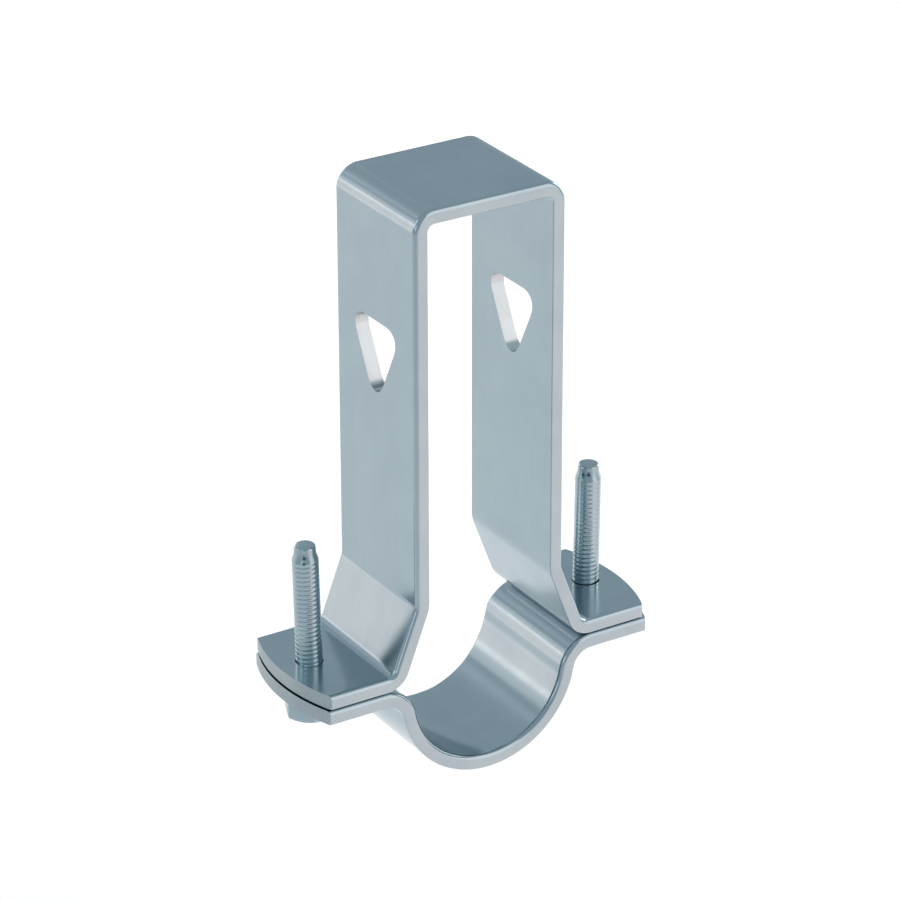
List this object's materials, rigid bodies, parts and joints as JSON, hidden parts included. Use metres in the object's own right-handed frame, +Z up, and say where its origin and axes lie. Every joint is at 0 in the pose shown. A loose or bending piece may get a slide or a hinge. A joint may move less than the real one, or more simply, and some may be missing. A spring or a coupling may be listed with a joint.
{
  "type": "pipe bracket",
  "caption": "Bent flat-bar bracket that hangs a pipe under a square rail: an upside-down U with sloping jaws and flanges, closed by a half-round saddle and hexagon screws.",
  "frame": {"origin": "centre of the pipe seat, on the pipe's axis, at half the bar's width", "axes": "+Y along the pipe, +X from the left screw to the right screw along the flanges, +Z up from the pipe to the rail"},
  "size_m": [0.0807, 0.03, 0.1253],
  "materials": {
    "zinc_bar": "satin bluish zinc plating over rolled steel bar",
    "zinc_screw": "bright bluish zinc plating over turned steel"
  },
  "bodies": {
    "root": {"hanger": "zinc_bar", "saddle": "zinc_bar", "left_screw": "zinc_screw", "right_screw": "zinc_screw"}
  },
  "joints": []
}
